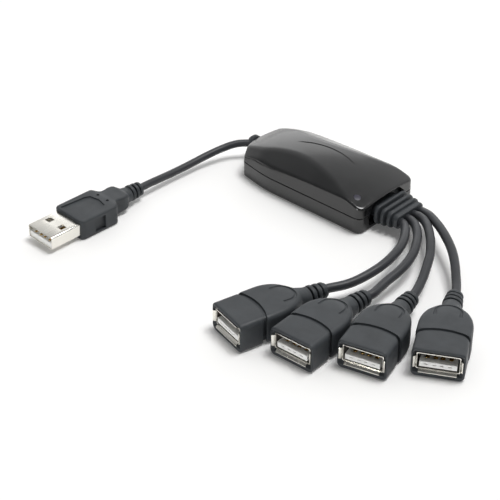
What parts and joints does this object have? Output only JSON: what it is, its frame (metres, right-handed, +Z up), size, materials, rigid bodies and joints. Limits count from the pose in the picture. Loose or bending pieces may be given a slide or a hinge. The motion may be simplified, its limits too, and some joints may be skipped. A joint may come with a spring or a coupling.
{
  "type": "usb hub",
  "caption": "Small domed hub housing with a short captive plug lead at one end and short flexible socket leads that fan out from the other.",
  "frame": {"origin": "centre of the housing's footprint with both of its strain reliefs, on the surface it lies on", "axes": "+X along the housing towards the socket leads, +Z up, +Y to the side the leads turn away from"},
  "size_m": [0.1496, 0.1043, 0.0148],
  "materials": {
    "housing_plastic": "semi-gloss",
    "soft_pvc": "satin",
    "cord_pvc": "satin",
    "nickel_plate": "bright plated",
    "contact_gold": "polished",
    "white_plastic": "satin",
    "board_green": "satin",
    "chip_black": "matte",
    "tin_plate": "satin",
    "ceramic_tan": "matte",
    "copper_wire": "bare",
    "tinted_lens": "polished"
  },
  "bodies": {
    "hub": {"top_cover": "housing_plastic", "bottom_cover": "housing_plastic", "hub_relief": "soft_pvc", "upstream_relief": "soft_pvc", "indicator_lens": "tinted_lens", "indicator_led": "white_plastic", "circuit_board": "board_green", "controller_chip": "chip_black", "crystal": "tin_plate", "electrolytic_capacitor": "tin_plate", "ceramic_capacitors": "ceramic_tan", "resistors": "chip_black", "lead_wires": "copper_wire", "upstream_wires": "copper_wire", "solder_joints": "tin_plate", "upstream_cord": "cord_pvc", "lead_1": "cord_pvc", "lead_2": "cord_pvc", "lead_3": "cord_pvc", "lead_4": "cord_pvc"},
    "plug": {"plug_grip": "soft_pvc", "plug_shell": "nickel_plate", "plug_insulator": "white_plastic", "plug_contacts": "contact_gold", "plug_inner_mould": "white_plastic"},
    "port_1": {"port_1_grip": "soft_pvc", "port_1_shell": "nickel_plate", "port_1_tongue": "white_plastic", "port_1_terminals": "contact_gold", "port_1_inner_mould": "white_plastic"},
    "port_1_springs": {"port_1_contacts": "contact_gold"},
    "port_2": {"port_2_grip": "soft_pvc", "port_2_shell": "nickel_plate", "port_2_tongue": "white_plastic", "port_2_terminals": "contact_gold", "port_2_inner_mould": "white_plastic"},
    "port_2_springs": {"port_2_contacts": "contact_gold"},
    "port_3": {"port_3_grip": "soft_pvc", "port_3_shell": "nickel_plate", "port_3_tongue": "white_plastic", "port_3_terminals": "contact_gold", "port_3_inner_mould": "white_plastic"},
    "port_3_springs": {"port_3_contacts": "contact_gold"},
    "port_4": {"port_4_grip": "soft_pvc", "port_4_shell": "nickel_plate", "port_4_tongue": "white_plastic", "port_4_terminals": "contact_gold", "port_4_inner_mould": "white_plastic"},
    "port_4_springs": {"port_4_contacts": "contact_gold"}
  },
  "joints": [
    {"name": "port_1_lift", "type": "hinge", "parent": "hub", "child": "port_1", "pos_m": [0.0357, -0.00495, 0.0052], "axis": [-0.9913, -0.1319, 0], "range_deg": [0, 12], "deforming": ["lead_1"]},
    {"name": "port_1_contact_press", "type": "hinge", "parent": "port_1", "child": "port_1_springs", "pos_m": [0.03507, -0.07707, 0.00485], "axis": [0.969, -0.247, 0], "range_deg": [0, 4], "stiffness_Nm_per_rad": 0.05},
    {"name": "port_2_lift", "type": "hinge", "parent": "hub", "child": "port_2", "pos_m": [0.0357, -0.00165, 0.0052], "axis": [-0.9235, -0.3836, 0], "range_deg": [0, 12], "deforming": ["lead_2"]},
    {"name": "port_2_contact_press", "type": "hinge", "parent": "port_2", "child": "port_2_springs", "pos_m": [0.05392, -0.07201, 0.00485], "axis": [0.999, 0.0436, 0], "range_deg": [0, 4], "stiffness_Nm_per_rad": 0.05},
    {"name": "port_3_lift", "type": "hinge", "parent": "hub", "child": "port_3", "pos_m": [0.0357, 0.00165, 0.0052], "axis": [-0.7962, -0.605, 0], "range_deg": [0, 12], "deforming": ["lead_3"]},
    {"name": "port_3_contact_press", "type": "hinge", "parent": "port_3", "child": "port_3_springs", "pos_m": [0.07035, -0.06209, 0.00485], "axis": [0.9668, 0.2554, 0], "range_deg": [0, 4], "stiffness_Nm_per_rad": 0.05},
    {"name": "port_4_lift", "type": "hinge", "parent": "hub", "child": "port_4", "pos_m": [0.0357, 0.00495, 0.0052], "axis": [-0.6344, -0.773, 0], "range_deg": [0, 12], "deforming": ["lead_4"]},
    {"name": "port_4_contact_press", "type": "hinge", "parent": "port_4", "child": "port_4_springs", "pos_m": [0.08596, -0.04969, 0.00485], "axis": [0.8763, 0.4818, 0], "range_deg": [0, 4], "stiffness_Nm_per_rad": 0.05},
    {"name": "plug_swing", "type": "hinge", "parent": "hub", "child": "plug", "pos_m": [-0.03454, -0.00138, 0.0058], "axis": [0, 0, 1], "range_deg": [-30, 20], "deforming": ["upstream_cord"]}
  ]
}
